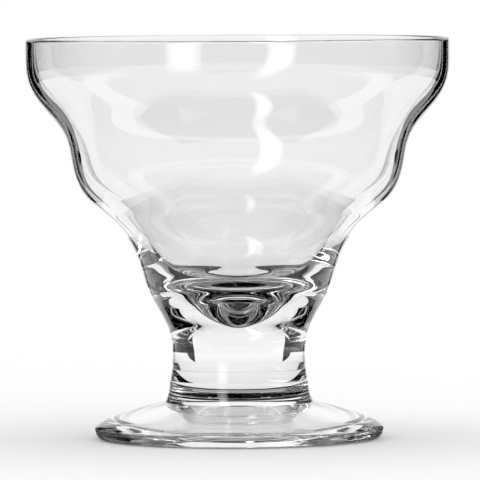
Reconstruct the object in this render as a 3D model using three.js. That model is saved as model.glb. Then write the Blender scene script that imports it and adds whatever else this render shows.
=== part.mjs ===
// Footed dessert glass in clear pressed glass: an open bowl whose wall waves twice on its way
// down to a round well, a short solid stem with a waist, and a domed round foot. The three pieces
// are formed apart and fused end to end, so they meet on flat joint faces.
// Millimetres, +Z up along the axis, origin at the middle of the face that the glass rests on.

import * as THREE from 'three';

const GLASS_HEIGHT = 108;

// Foot
const FOOT_RADIUS = 39;
const FOOT_EDGE_HEIGHT = 2.8;       // height of the widest place of the rounded edge
const FOOT_EDGE_ROUND = 2.2;        // how far the edge draws in below that, to the bearing ring
const BEARING_RING_WIDTH = 4.8;     // flat ring that touches the table
const HOLLOW_DEPTH = 7.6;           // hollow under the foot, at its middle
const HOLLOW_FLAT = 8;              // how far the level middle pulls the hollow's curve outwards
const HOLLOW_EDGE_LEAN = 46;        // degrees off the upright at which the hollow leaves the ring
const HOLLOW_EDGE_PULL = 3;         // how far that lean carries on into the curve
const DOME_HEIGHT = 9.8;            // where the dome meets the collar
const DOME_FALL = 12;               // degrees that the dome slopes down as it leaves the collar
const DOME_REACH = 10;              // how far that slope pulls the dome's curve outwards
const DOME_EDGE_PULL = 1.6;         // how far the upright edge pulls the curve upwards
const COLLAR_FOOT_RADIUS = 20.1;
const COLLAR_RISE = 5.9;            // dome to stem joint
const COLLAR_FLARE = 2.2;           // height over which the collar flares out into the dome
const COLLAR_LEDGE = 0.25;          // how far the collar stands out past the stem

// Stem. Leans are in degrees off the upright, outwards going up.
const STEM_FOOT_RADIUS = 18.5;
const STEM_FOOT_LEAN = -6;
const STEM_WAIST_RADIUS = 17.93;
const STEM_WAIST_RISE = 6.6;        // foot joint to the narrowest place
const STEM_LENGTH = 14.9;           // foot joint to bowl joint

// Outside of the bowl. Each station is where the outline turns from a bulge to a hollow or back,
// and its height is a share of the bowl's height from the stem joint to the rim.
const HEEL_SHARE = 0.068;
const HEEL_RADIUS = 22.1;
const HEEL_LEAN = 30.5;
const LOWER_WAIST_SHARE = 0.176;
const LOWER_WAIST_RADIUS = 25.7;
const LOWER_WAIST_LEAN = 16.5;
const BELLY_SHARE = 0.381;
const BELLY_RADIUS = 35.7;
const BELLY_LEAN = 48.5;
const UPPER_WAIST_SHARE = 0.596;
const UPPER_WAIST_RADIUS = 45.1;
const UPPER_WAIST_LEAN = 9.8;
const SHOULDER_SHARE = 0.742;
const SHOULDER_RADIUS = 51.05;
const SHOULDER_LEAN = 41;
const RIM_RADIUS = 57.15;
const RIM_BAND = 2.4;               // upright band under the rim's rounding

// Wall of the bowl, square to the outside. It thins evenly from the belly up to the rim.
const BELLY_WALL = 3.8;
const RIM_WALL = 1.7;

// Floor of the bowl, from the edge where the wall runs out to the round well in the middle
const FLOOR_EDGE_SHARE = 0.223;
const FLOOR_EDGE_RADIUS = 21.3;
const FLOOR_EDGE_LEAN = 29.5;
const FLOOR_EDGE_PULL = 7.8;        // how far the edge's lean carries on into the floor's curve
const WELL_SHARE = 0.123;
const WELL_RADIUS = 9.9;
const WELL_LEAN = 62.7;
const WELL_PULL = 5.2;
const WELL_BOTTOM_SHARE = 0.028;    // lowest point of the inside
const WELL_FLAT = 3.2;              // how far the level bottom pulls the well's curve outwards

// Glass
const GLASS_COLOUR = 0xeef2f1;
const GLASS_ROUGHNESS = 0.05;
const GLASS_OPACITY = 0.4;

// Facets
const FACETS_ROUND = 60;
const CHORDS_PER_STRETCH = 5;
const SAME_PLACE = 1e-6;            // points nearer than this are one point

const degrees = THREE.MathUtils.degToRad;

// A place on an outline: its radius, its height and its lean off the upright.
const station = (radius, height, lean) => ({ radius, height, lean });

// A smooth stretch between two stations that keeps their leans and is straight where it meets its
// neighbours. Start and end are shares of the stretch, so that it can be cut at a joint.
function stretch(from, to, start = 0, end = 1) {
  const rise = to.height - from.height;
  const fromSlope = Math.tan(degrees(from.lean)) * rise;
  const toSlope = Math.tan(degrees(to.lean)) * rise;
  const points = [];
  for (let i = 0; i <= CHORDS_PER_STRETCH; i += 1) {
    const t = start + (end - start) * i / CHORDS_PER_STRETCH;
    const blend = 10 * t ** 3 - 15 * t ** 4 + 6 * t ** 5;
    const radius = from.radius * (1 - blend) + to.radius * blend
      + fromSlope * (t - 6 * t ** 3 + 8 * t ** 4 - 3 * t ** 5)
      + toSlope * (-4 * t ** 3 + 7 * t ** 4 - 3 * t ** 5);
    points.push(new THREE.Vector2(radius, from.height + rise * t));
  }
  return points;
}

function stretches(stations) {
  return stations.slice(1).flatMap((to, i) => stretch(stations[i], to).slice(i > 0 ? 1 : 0));
}

// The point that lies a length further down the wall from a station.
function along(from, length) {
  const lean = degrees(from.lean);
  return [from.radius - length * Math.sin(lean), from.height - length * Math.cos(lean)];
}

// Turns an outline of radius and height, which runs out, up and back to the axis, into a solid.
function revolve(name, outline) {
  const points = outline.filter((p, i) => i === 0 || p.distanceTo(outline[i - 1]) > SAME_PLACE);
  const geometry = new THREE.LatheGeometry(points, FACETS_ROUND);
  geometry.rotateX(Math.PI / 2);
  const glass = new THREE.MeshStandardMaterial({
    color: GLASS_COLOUR,
    roughness: GLASS_ROUGHNESS,
    metalness: 0,
    transparent: true,
    opacity: GLASS_OPACITY,
  });
  const mesh = new THREE.Mesh(geometry, glass);
  mesh.name = name;
  return mesh;
}

// Stations of the whole outside, from the foot joint up
const footJoint = DOME_HEIGHT + COLLAR_RISE;
const bowlJoint = footJoint + STEM_LENGTH;
const bowlHeight = (share) => bowlJoint + share * (GLASS_HEIGHT - bowlJoint);
const stemFoot = station(STEM_FOOT_RADIUS, footJoint, STEM_FOOT_LEAN);
const stemWaist = station(STEM_WAIST_RADIUS, footJoint + STEM_WAIST_RISE, 0);
const heel = station(HEEL_RADIUS, bowlHeight(HEEL_SHARE), HEEL_LEAN);
const lowerWaist = station(LOWER_WAIST_RADIUS, bowlHeight(LOWER_WAIST_SHARE), LOWER_WAIST_LEAN);
const belly = station(BELLY_RADIUS, bowlHeight(BELLY_SHARE), BELLY_LEAN);
const upperWaist = station(UPPER_WAIST_RADIUS, bowlHeight(UPPER_WAIST_SHARE), UPPER_WAIST_LEAN);
const shoulder = station(SHOULDER_RADIUS, bowlHeight(SHOULDER_SHARE), SHOULDER_LEAN);
const rim = station(RIM_RADIUS, GLASS_HEIGHT - RIM_WALL / 2, 0);
const rimBand = station(RIM_RADIUS, rim.height - RIM_BAND, 0);

// The bowl joint cuts the stretch between the stem's waist and the heel.
const jointShare = (bowlJoint - stemWaist.height) / (heel.height - stemWaist.height);

// The inside of a stretch of wall: its outside moved in by the wall's thickness, square to it.
function lining(outside) {
  return outside.map((point, i) => {
    const before = outside[Math.max(i - 1, 0)];
    const after = outside[Math.min(i + 1, outside.length - 1)];
    const outwards = new THREE.Vector2(after.y - before.y, before.x - after.x).normalize();
    const wall = THREE.MathUtils.mapLinear(point.y, belly.height, rim.height, BELLY_WALL, RIM_WALL);
    return point.clone().addScaledVector(outwards, -wall);
  });
}

function makeBowl() {
  const lowerWall = [...stretch(stemWaist, heel, jointShare, 1), ...stretches([heel, lowerWaist, belly])];
  const upperWall = stretches([belly, upperWaist, shoulder, rimBand, rim]);
  const upperInside = lining(upperWall);
  const bellyInside = station(upperInside[0].x, upperInside[0].y, BELLY_LEAN);
  const floorEdge = station(FLOOR_EDGE_RADIUS, bowlHeight(FLOOR_EDGE_SHARE), FLOOR_EDGE_LEAN);
  const wellEdge = station(WELL_RADIUS, bowlHeight(WELL_SHARE), WELL_LEAN);
  const wellBottom = bowlHeight(WELL_BOTTOM_SHARE);

  const rimRound = new THREE.Path();
  rimRound.absarc(RIM_RADIUS - RIM_WALL / 2, rim.height, RIM_WALL / 2, 0, Math.PI);

  const floor = new THREE.Path();
  floor.moveTo(floorEdge.radius, floorEdge.height);
  floor.bezierCurveTo(
    ...along(floorEdge, FLOOR_EDGE_PULL), ...along(wellEdge, -WELL_PULL), wellEdge.radius, wellEdge.height,
  );
  floor.quadraticCurveTo(WELL_FLAT, wellBottom, 0, wellBottom);

  return revolve('bowl', [
    new THREE.Vector2(0, bowlJoint),
    ...lowerWall,
    ...upperWall,
    ...rimRound.getPoints(CHORDS_PER_STRETCH),
    ...upperInside.reverse(),
    ...stretch(bellyInside, floorEdge),
    ...floor.getPoints(CHORDS_PER_STRETCH),
  ]);
}

function makeStem() {
  return revolve('stem', [
    new THREE.Vector2(0, footJoint),
    ...stretch(stemFoot, stemWaist),
    ...stretch(stemWaist, heel, 0, jointShare),
    new THREE.Vector2(0, bowlJoint),
  ]);
}

function makeFoot() {
  const ringOuter = FOOT_RADIUS - FOOT_EDGE_ROUND;
  const ringInner = station(ringOuter - BEARING_RING_WIDTH, 0, -HOLLOW_EDGE_LEAN);
  const collarTopRadius = STEM_FOOT_RADIUS + COLLAR_LEDGE;
  const domeSlope = Math.tan(degrees(DOME_FALL));

  const outline = new THREE.Path();
  outline.moveTo(0, HOLLOW_DEPTH);
  outline.bezierCurveTo(
    HOLLOW_FLAT, HOLLOW_DEPTH, ...along(ringInner, -HOLLOW_EDGE_PULL), ringInner.radius, ringInner.height,
  );
  outline.lineTo(ringOuter, 0);
  outline.absellipse(
    ringOuter, FOOT_EDGE_HEIGHT, FOOT_EDGE_ROUND, FOOT_EDGE_HEIGHT, -Math.PI / 2, 0,
  );
  outline.bezierCurveTo(
    FOOT_RADIUS, FOOT_EDGE_HEIGHT + DOME_EDGE_PULL,
    COLLAR_FOOT_RADIUS + DOME_REACH, DOME_HEIGHT - DOME_REACH * domeSlope,
    COLLAR_FOOT_RADIUS, DOME_HEIGHT,
  );
  outline.quadraticCurveTo(collarTopRadius, DOME_HEIGHT + COLLAR_FLARE, collarTopRadius, footJoint);
  outline.lineTo(0, footJoint);
  return revolve('foot', outline.getPoints(CHORDS_PER_STRETCH));
}

const dessertGlass = new THREE.Group();
dessertGlass.add(makeFoot(), makeStem(), makeBowl());

export default dessertGlass;
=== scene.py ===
"""Looks of a footed dessert glass: clear pressed glass on a white studio table.

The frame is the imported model's: metres, +Z up, origin under the middle of the foot. Outlines are lists of
(radius, height). They and the studio are written in millimetres, which become metres when meshes are made.
"""
import math

import bpy
from mathutils import Matrix, Vector


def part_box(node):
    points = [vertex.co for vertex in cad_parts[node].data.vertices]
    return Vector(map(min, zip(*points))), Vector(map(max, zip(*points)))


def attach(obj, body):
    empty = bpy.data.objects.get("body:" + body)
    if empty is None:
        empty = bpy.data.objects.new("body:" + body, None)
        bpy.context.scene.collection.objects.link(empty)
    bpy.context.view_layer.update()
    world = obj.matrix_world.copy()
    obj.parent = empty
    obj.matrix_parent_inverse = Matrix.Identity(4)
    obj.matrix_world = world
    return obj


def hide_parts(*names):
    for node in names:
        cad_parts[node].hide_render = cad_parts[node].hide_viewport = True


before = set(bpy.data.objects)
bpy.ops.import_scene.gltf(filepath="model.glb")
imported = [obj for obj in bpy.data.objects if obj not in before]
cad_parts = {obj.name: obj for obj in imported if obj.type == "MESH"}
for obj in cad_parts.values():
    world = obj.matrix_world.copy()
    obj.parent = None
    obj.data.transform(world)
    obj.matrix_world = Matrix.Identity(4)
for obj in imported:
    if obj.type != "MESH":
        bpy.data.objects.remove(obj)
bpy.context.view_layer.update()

MM = 0.001

# Camera: nearly level with the rim, and far away
CAMERA_DISTANCE = 1800 * MM
CAMERA_HEIGHT = 135.4 * MM
AIM = Vector((0.46, 0, 53.43)) * MM
PIXELS_PER_MM = 3.7095
IMAGE_WIDTH = 480
SENSOR_WIDTH = 36
CAMERA_ROLL = -0.3

# Facets, and the radius below which a point lies on the axis
ROUND_STEPS = 192
CURVE_STEPS = 24
SHARP_ANGLE = math.radians(40)
ON_AXIS = 1e-4

# Light paths: enough bounces for thick glass
LIGHT_BOUNCES = 32
GLOSSY_BOUNCES = 24

# Wall, square to the outside. It thins evenly from the belly up to the rim.
BELLY_WALL = 3.8
RIM_WALL = 1.7

# Stations of the outside from the stem's foot to the rim: radius, height and lean off the upright in degrees
GLASS_HEIGHT = 108
RIM_RADIUS = 57.15
STEM_FOOT = (18.5, 15.7, -6)
STEM_WAIST = (17.93, 22.3, 0)
HEEL = (22.1, 35.86, 30.5)
LOWER_WAIST = (25.7, 44.22, 16.5)
BELLY = (35.7, 60.09, 48.5)
UPPER_WAIST = (45.1, 76.73, 9.8)
SHOULDER = (51.05, 88.03, 41)
RIM_START = (RIM_RADIUS, 104.75, 0)
RIM_END = (RIM_RADIUS, GLASS_HEIGHT - RIM_WALL / 2, 0)

# Floor: from the edge where the wall runs out to the well in the middle
FLOOR_EDGE = (21.3, 47.86, 29.5)
FLOOR_EDGE_PULL = 7.8
WELL_EDGE = (9.9, 40.12, 62.7)
WELL_PULL = 5.2
WELL_BOTTOM = 32.77
WELL_FLAT = 3.2

# Foot
HOLLOW_DEPTH = 7.6
HOLLOW_FLAT = 8
RING_INNER = (32.0, 0, -46)
HOLLOW_EDGE_PULL = 3
RING_OUTER = 36.8
FOOT_RADIUS = 39
FOOT_EDGE_HEIGHT = 2.8
DOME_EDGE_PULL = 1.6
DOME_REACH = 10
DOME_FALL = 12
COLLAR_FOOT = (20.1, 9.8)
COLLAR_FLARE = 2.2
COLLAR_TOP = 18.75

# Glass: colour, bending power, and the waves and wear of its surface
GLASS_COLOUR = (0.96, 0.96, 0.96, 1)
GLASS_IOR = 1.52
WAVE_LENGTH = 16 * MM
WAVE_HEIGHT = 0.02 * MM
WEAR_SIZE = 6 * MM
WEAR_ROUGHNESS = 0.012

# Studio: a white room and a white table, a hair below the foot
ROOM_WHITE = 1
TABLE_SIDE = 8000
TABLE_HEIGHT = -0.2

# Black cards, which give clear glass its dark lines: wings beside the view behind it, round cards from there
# to the front, and one above. Angles are degrees round the glass from straight behind it.
WING_FOOT = (68, 138)
WING_TOP = (110, 180)
WING_FAR_END = (250, 320)
WING_HEIGHT = 120
SIDE_CARD = (38, 180)
SIDE_DISTANCE = 520
SIDE_HEIGHT = 440
SIDE_STEPS = 48
TOP_CARD_RADIUS = 420
TOP_CARD_HEIGHT = 500

# Black sheets on the table round the foot. Under the foot a black disc and a black ring are painted shade,
# standing in for the foot's contact shadow as seen through the glass. Behind the glass a white strip of table
# starts again.
SHEET_HEIGHT = -0.1
SHEET_INNER = 43
SHEET_OUTER = 75
SHEET_FRONT = -105
STRIP_START = (46, 60)
# Painted shade under the foot: a black disc under its hollow, and a black ring from under its bearing ring
# out to the sheets
SHADE_DISC_RADIUS = 16
SHADE_RING_INNER = 31

# Softbox in front on the left. It fades to the white of the room at its edges.
SOFTBOX_AZIMUTHS = (198, 217)
SOFTBOX_ELEVATIONS = (-2, 80)
SOFTBOX_DISTANCE = 410
SOFTBOX_STRENGTH = 8
SOFTBOX_FALL = 1.2
SOFTBOX_STEPS = 24


def slope_of(lean):
    return math.tan(math.radians(lean))


def bend(start, end):
    """Points of the outline between two stations, without its first. It has no curvature at its ends."""
    (r0, z0, lean0), (r1, z1, lean1) = start, end
    rise = z1 - z0
    points = []
    for i in range(1, CURVE_STEPS + 1):
        t = i / CURVE_STEPS
        radius = (
            r0 * (1 - 10 * t**3 + 15 * t**4 - 6 * t**5)
            + slope_of(lean0) * rise * (t - 6 * t**3 + 8 * t**4 - 3 * t**5)
            + r1 * (10 * t**3 - 15 * t**4 + 6 * t**5)
            + slope_of(lean1) * rise * (-4 * t**3 + 7 * t**4 - 3 * t**5)
        )
        points.append((radius, z0 + rise * t))
    return points


def lining(outside):
    """The inside of a stretch of wall: its outside moved in by the wall's thickness, square to it."""
    inside = []
    for i, (radius, height) in enumerate(outside):
        r0, z0 = outside[max(i - 1, 0)]
        r1, z1 = outside[min(i + 1, len(outside) - 1)]
        outwards = Vector((z1 - z0, r0 - r1)).normalized()
        thinned = (height - BELLY[1]) / (RIM_END[1] - BELLY[1])
        wall = BELLY_WALL + (RIM_WALL - BELLY_WALL) * thinned
        inside.append((radius - wall * outwards.x, height - wall * outwards.y))
    return inside


def bends(*stations):
    points = [stations[0][:2]]
    for start, end in zip(stations, stations[1:]):
        points += bend(start, end)
    return points


def curve(*handles):
    """Points of a Bezier curve of any degree, without its first."""
    points = []
    for i in range(1, CURVE_STEPS + 1):
        level = [Vector(h) for h in handles]
        while len(level) > 1:
            level = [a.lerp(b, i / CURVE_STEPS) for a, b in zip(level, level[1:])]
        points.append(tuple(level[0]))
    return points


def arc(centre, radius_r, radius_z, start, end):
    """Points of an elliptic arc, without its first. Angles are in degrees."""
    points = []
    for i in range(1, CURVE_STEPS + 1):
        angle = math.radians(start + (end - start) * i / CURVE_STEPS)
        points.append((centre[0] + radius_r * math.cos(angle), centre[1] + radius_z * math.sin(angle)))
    return points


def along(station, length):
    """The point that lies a length further down the wall from a station."""
    radius, height, lean = station
    angle = math.radians(lean)
    return radius - length * math.sin(angle), height - length * math.cos(angle)


def cut(points, low, high):
    """The share of an outline between two heights, with points added at the cuts."""
    kept = []
    for (r0, z0), (r1, z1) in zip(points, points[1:]):
        for height in (low, high):
            if (z0 - height) * (z1 - height) < 0:
                share = (height - z0) / (z1 - z0)
                kept.append((r0 + share * (r1 - r0), height))
        if low <= z1 <= high:
            kept.append((r1, z1))
    if low <= points[0][1] <= high:
        kept.insert(0, points[0])
    return kept


def revolve(name, outline, joints, glass, joint):
    """A closed piece turned from its outline. Faces that lie in a fused joint get the joint's material."""
    rows = []
    verts = []
    for radius, height in outline:
        if radius < ON_AXIS:
            rows.append([len(verts)])
            verts.append((0, 0, height * MM))
            continue
        rows.append(range(len(verts), len(verts) + ROUND_STEPS))
        for i in range(ROUND_STEPS):
            turn = 2 * math.pi * i / ROUND_STEPS
            verts.append((radius * math.cos(turn) * MM, radius * math.sin(turn) * MM, height * MM))
    faces = []
    slots = []
    for j in range(len(rows) - 1):
        low, high = rows[j], rows[j + 1]
        level = outline[j][1] == outline[j + 1][1]
        in_joint = level and outline[j][1] in joints and 0 in (outline[j][0], outline[j + 1][0])
        for i in range(ROUND_STEPS):
            k = (i + 1) % ROUND_STEPS
            if len(low) == 1:
                faces.append((low[0], high[k], high[i]))
            elif len(high) == 1:
                faces.append((low[i], low[k], high[0]))
            else:
                faces.append((low[i], low[k], high[k], high[i]))
            slots.append(1 if in_joint else 0)
    mesh = bpy.data.meshes.new(name)
    mesh.from_pydata(verts, [], faces)
    mesh.materials.append(glass)
    mesh.materials.append(joint)
    mesh.polygons.foreach_set("material_index", slots)
    mesh.polygons.foreach_set("use_smooth", [True] * len(faces))
    mesh.set_sharp_from_angle(angle=SHARP_ANGLE)
    piece = bpy.data.objects.new(name + "_glass", mesh)
    bpy.context.scene.collection.objects.link(piece)
    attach(piece, "root")
    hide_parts(name)


def clear_glass():
    """Clear pressed glass: very slightly grey and wavy, with a polish that isn't the same all over."""
    material = bpy.data.materials.new("clear_glass")
    material.use_nodes = True
    nodes, links = material.node_tree.nodes, material.node_tree.links
    shader = nodes["Principled BSDF"]
    shader.inputs["Base Color"].default_value = GLASS_COLOUR
    shader.inputs["Transmission Weight"].default_value = 1
    shader.inputs["IOR"].default_value = GLASS_IOR
    place = nodes.new("ShaderNodeTexCoord")

    waves = nodes.new("ShaderNodeTexNoise")
    waves.inputs["Scale"].default_value = 1 / WAVE_LENGTH
    waves.inputs["Detail"].default_value = 1
    bump = nodes.new("ShaderNodeBump")
    bump.inputs["Distance"].default_value = WAVE_HEIGHT
    links.new(place.outputs["Object"], waves.inputs["Vector"])
    links.new(waves.outputs["Fac"], bump.inputs["Height"])
    links.new(bump.outputs["Normal"], shader.inputs["Normal"])

    wear = nodes.new("ShaderNodeTexNoise")
    wear.inputs["Scale"].default_value = 1 / WEAR_SIZE
    polish = nodes.new("ShaderNodeMapRange")
    polish.inputs["To Max"].default_value = WEAR_ROUGHNESS
    links.new(place.outputs["Object"], wear.inputs["Vector"])
    links.new(wear.outputs["Fac"], polish.inputs["Value"])
    links.new(polish.outputs["Result"], shader.inputs["Roughness"])
    return material


def fused_joint():
    """Inside a fused joint there is no surface, so light passes straight on."""
    material = bpy.data.materials.new("fused_joint")
    material.use_nodes = True
    nodes, links = material.node_tree.nodes, material.node_tree.links
    nodes.remove(nodes["Principled BSDF"])
    through = nodes.new("ShaderNodeBsdfTransparent")
    links.new(through.outputs["BSDF"], nodes["Material Output"].inputs["Surface"])
    return material


foot_joint = round(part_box("stem")[0].z / MM, 3)
bowl_joint = round(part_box("stem")[1].z / MM, 3)
joints = (foot_joint, bowl_joint)
glass = clear_glass()
joint = fused_joint()

outside = bends(STEM_FOOT, STEM_WAIST, HEEL, LOWER_WAIST, BELLY, UPPER_WAIST, SHOULDER, RIM_START, RIM_END)
bowl_outside = cut(outside, bowl_joint, RIM_END[1])
stem_outside = cut(outside, foot_joint, bowl_joint)


def bowl_outline():
    rim_round = RIM_WALL / 2
    rim = arc((RIM_END[0] - rim_round, RIM_END[1]), rim_round, rim_round, 0, 180)
    inside = lining(bends(BELLY, UPPER_WAIST, SHOULDER, RIM_START, RIM_END))[-2::-1]
    inside += bend((*inside[-1], BELLY[2]), FLOOR_EDGE)
    floor_start = along(FLOOR_EDGE, FLOOR_EDGE_PULL)
    floor_end = along(WELL_EDGE, -WELL_PULL)
    floor = curve(FLOOR_EDGE[:2], floor_start, floor_end, WELL_EDGE[:2])
    well = curve(WELL_EDGE[:2], (WELL_FLAT, WELL_BOTTOM), (0, WELL_BOTTOM))
    return [(0, bowl_joint), *bowl_outside, *rim, *inside, *floor, *well]


def stem_outline():
    return [(0, foot_joint), *stem_outside, (0, bowl_joint)]


def foot_outline():
    hollow_top = (0, HOLLOW_DEPTH)
    hollow_end = along(RING_INNER, -HOLLOW_EDGE_PULL)
    hollow = curve(hollow_top, (HOLLOW_FLAT, HOLLOW_DEPTH), hollow_end, RING_INNER[:2])
    edge = arc((RING_OUTER, FOOT_EDGE_HEIGHT), FOOT_RADIUS - RING_OUTER, FOOT_EDGE_HEIGHT, -90, 0)
    dome_radius, dome_height = COLLAR_FOOT
    dome = curve(
        (FOOT_RADIUS, FOOT_EDGE_HEIGHT),
        (FOOT_RADIUS, FOOT_EDGE_HEIGHT + DOME_EDGE_PULL),
        (dome_radius + DOME_REACH, dome_height - DOME_REACH * slope_of(DOME_FALL)),
        COLLAR_FOOT,
    )
    collar = curve(COLLAR_FOOT, (COLLAR_TOP, dome_height + COLLAR_FLARE), (COLLAR_TOP, foot_joint))
    ledge = (STEM_FOOT[0], foot_joint)
    return [hollow_top, *hollow, (RING_OUTER, 0), *edge, *dome, *collar, ledge, (0, foot_joint)]


revolve("bowl", bowl_outline(), joints, glass, joint)
revolve("stem", stem_outline(), joints, glass, joint)
revolve("foot", foot_outline(), joints, glass, joint)


def light_only(name, verts, faces, material, fade=None):
    """A card that shows in the glass but not to the camera, and takes no light from the table."""
    mesh = bpy.data.meshes.new(name)
    mesh.from_pydata([[size * MM for size in vert] for vert in verts], [], faces)
    mesh.materials.append(material)
    if fade:
        mesh.attributes.new("fade", "FLOAT", "POINT").data.foreach_set("value", fade)
    card = bpy.data.objects.new(name, mesh)
    bpy.context.scene.collection.objects.link(card)
    card.visible_camera = False
    card.visible_diffuse = False
    card.visible_shadow = False


def round_card(name, low_azimuth, high_azimuth, distance, bottom, top, material):
    """An upright card curved round the glass. Azimuth 0 is straight behind it, positive to the right."""
    verts = []
    for i in range(SIDE_STEPS + 1):
        turn = math.radians(low_azimuth + (high_azimuth - low_azimuth) * i / SIDE_STEPS)
        for height in (bottom, top):
            verts.append((distance * math.sin(turn), distance * math.cos(turn), height))
    faces = [(2 * i, 2 * i + 2, 2 * i + 3, 2 * i + 1) for i in range(SIDE_STEPS)]
    light_only(name, verts, faces, material)


def glow(name, strength):
    """White light of one strength. With none it is the black of the cards."""
    material = bpy.data.materials.new(name)
    material.use_nodes = True
    nodes, links = material.node_tree.nodes, material.node_tree.links
    nodes.remove(nodes["Principled BSDF"])
    light = nodes.new("ShaderNodeEmission")
    light.inputs["Strength"].default_value = strength
    links.new(light.outputs["Emission"], nodes["Material Output"].inputs["Surface"])
    return material


def soft_light():
    """Light that falls from the softbox's strength to the white of the room, as its mesh says."""
    material = glow("soft_light", SOFTBOX_STRENGTH)
    nodes, links = material.node_tree.nodes, material.node_tree.links
    fade = nodes.new("ShaderNodeAttribute")
    fade.attribute_name = "fade"
    strength = nodes.new("ShaderNodeMapRange")
    strength.inputs["To Min"].default_value = ROOM_WHITE
    strength.inputs["To Max"].default_value = SOFTBOX_STRENGTH
    links.new(fade.outputs["Fac"], strength.inputs["Value"])
    links.new(strength.outputs["Result"], nodes["Emission"].inputs["Strength"])
    return material


def softbox():
    """A tall strip of light, bent over the glass, that is brightest along its middle."""
    verts = []
    fade = []
    for i in range(SOFTBOX_STEPS + 1):
        for j in range(SOFTBOX_STEPS + 1):
            across, up = i / SOFTBOX_STEPS, j / SOFTBOX_STEPS
            low, high = SOFTBOX_AZIMUTHS
            azimuth = math.radians(low + (high - low) * across)
            low, high = SOFTBOX_ELEVATIONS
            elevation = math.radians(low + (high - low) * up)
            level = SOFTBOX_DISTANCE * math.cos(elevation)
            height = SOFTBOX_DISTANCE * math.sin(elevation)
            verts.append((level * math.sin(azimuth), level * math.cos(azimuth), height))
            fade.append((math.sin(math.pi * across) * math.sin(math.pi * up)) ** SOFTBOX_FALL)
    row = SOFTBOX_STEPS + 1
    faces = []
    for i in range(SOFTBOX_STEPS):
        for j in range(SOFTBOX_STEPS):
            corner = i * row + j
            faces.append((corner, corner + row, corner + row + 1, corner + 1))
    light_only("softbox", verts, faces, soft_light(), fade)


def table():
    mesh = bpy.data.meshes.new("table")
    half = TABLE_SIDE / 2
    corners = [(-half, -half), (half, -half), (half, half), (-half, half)]
    mesh.from_pydata([(x * MM, y * MM, TABLE_HEIGHT * MM) for x, y in corners], [], [(0, 1, 2, 3)])
    top = bpy.data.objects.new("table", mesh)
    bpy.context.scene.collection.objects.link(top)
    white = bpy.data.materials.new("table_white")
    white.use_nodes = True
    shader = white.node_tree.nodes["Principled BSDF"]
    shader.inputs["Base Color"].default_value = (1, 1, 1, 1)
    shader.inputs["Roughness"].default_value = 1
    shader.inputs["Specular IOR Level"].default_value = 0
    mesh.materials.append(white)


def circle(radius):
    turns = [2 * math.pi * i / ROUND_STEPS for i in range(ROUND_STEPS)]
    return [(radius * math.cos(turn), radius * math.sin(turn)) for turn in turns]


def sheet(name, corners, material):
    """A flat card lying on the table."""
    light_only(name, [(x, y, SHEET_HEIGHT) for x, y in corners], [range(len(corners))], material)


def ring_sheet(name, inner, outer, material):
    """A flat ring lying on the table."""
    verts = [(x, y, SHEET_HEIGHT) for x, y in circle(inner) + circle(outer)]
    faces = []
    for i in range(ROUND_STEPS):
        k = (i + 1) % ROUND_STEPS
        faces.append((i, k, ROUND_STEPS + k, ROUND_STEPS + i))
    light_only(name, verts, faces, material)


def white_room():
    world = bpy.data.worlds.new("studio")
    bpy.context.scene.world = world
    world.use_nodes = True
    background = world.node_tree.nodes["Background"]
    background.inputs["Color"].default_value = (ROOM_WHITE, ROOM_WHITE, ROOM_WHITE, 1)
    table()


def dark_cards(black):
    """Cards that stand round the glass and one above it."""
    low, high = SIDE_CARD
    for side, name in ((-1, "left"), (1, "right")):
        foot, top, end = [(side * x, y) for x, y in (WING_FOOT, WING_TOP, WING_FAR_END)]
        wing = [(*foot, 0), (*end, 0), (*end, WING_HEIGHT), (*top, WING_HEIGHT)]
        light_only(f"{name}_wing", wing, [(0, 1, 2, 3)], black)
        round_card(f"{name}_card", side * low, side * high, SIDE_DISTANCE, 0, SIDE_HEIGHT, black)
    above = [(x, y, TOP_CARD_HEIGHT) for x, y in circle(TOP_CARD_RADIUS)]
    light_only("top_card", above, [range(ROUND_STEPS)], black)


def dark_sheets(black):
    """Sheets on the table all round the foot, and under it a black disc and ring that are painted shade for
    the foot's contact shadow.
    """
    inner, outer = SHEET_INNER, SHEET_OUTER
    strip, back = STRIP_START
    for side, name in ((-1, "left"), (1, "right")):
        beside = [(inner, -inner), (outer, -inner), (outer, back), (strip, back), (inner, inner)]
        sheet(f"{name}_beside", [(side * x, y) for x, y in beside], black)
    sheet("near_sheet", [(-inner, inner), (inner, inner), (strip, back), (-strip, back)], black)
    front = [(-outer, -inner), (outer, -inner), (outer, SHEET_FRONT), (-outer, SHEET_FRONT)]
    sheet("front_sheet", front, black)
    # Painted shade: the disc and ring stand in for the foot's contact shadow on the table, seen through the
    # glass
    sheet("painted_shade_disc", circle(SHADE_DISC_RADIUS), black)
    ring_sheet("painted_shade_ring", SHADE_RING_INNER, inner, black)


white_room()
black = glow("black_card", 0)
dark_cards(black)
dark_sheets(black)
softbox()


def camera():
    data = bpy.data.cameras.new("camera")
    data.sensor_width = SENSOR_WIDTH
    data.lens = PIXELS_PER_MM / MM * CAMERA_DISTANCE / IMAGE_WIDTH * SENSOR_WIDTH
    eye = bpy.data.objects.new("camera", data)
    bpy.context.scene.collection.objects.link(eye)
    eye.location = (AIM.x, -CAMERA_DISTANCE, CAMERA_HEIGHT)
    look = (AIM - eye.location).to_track_quat("-Z", "Y").to_matrix()
    eye.rotation_euler = (look @ Matrix.Rotation(math.radians(CAMERA_ROLL), 3, "Z")).to_euler()
    bpy.context.scene.camera = eye


camera()
bpy.context.scene.view_settings.view_transform = "Standard"
bpy.context.scene.cycles.max_bounces = LIGHT_BOUNCES
bpy.context.scene.cycles.glossy_bounces = GLOSSY_BOUNCES
bpy.context.scene.cycles.transmission_bounces = LIGHT_BOUNCES
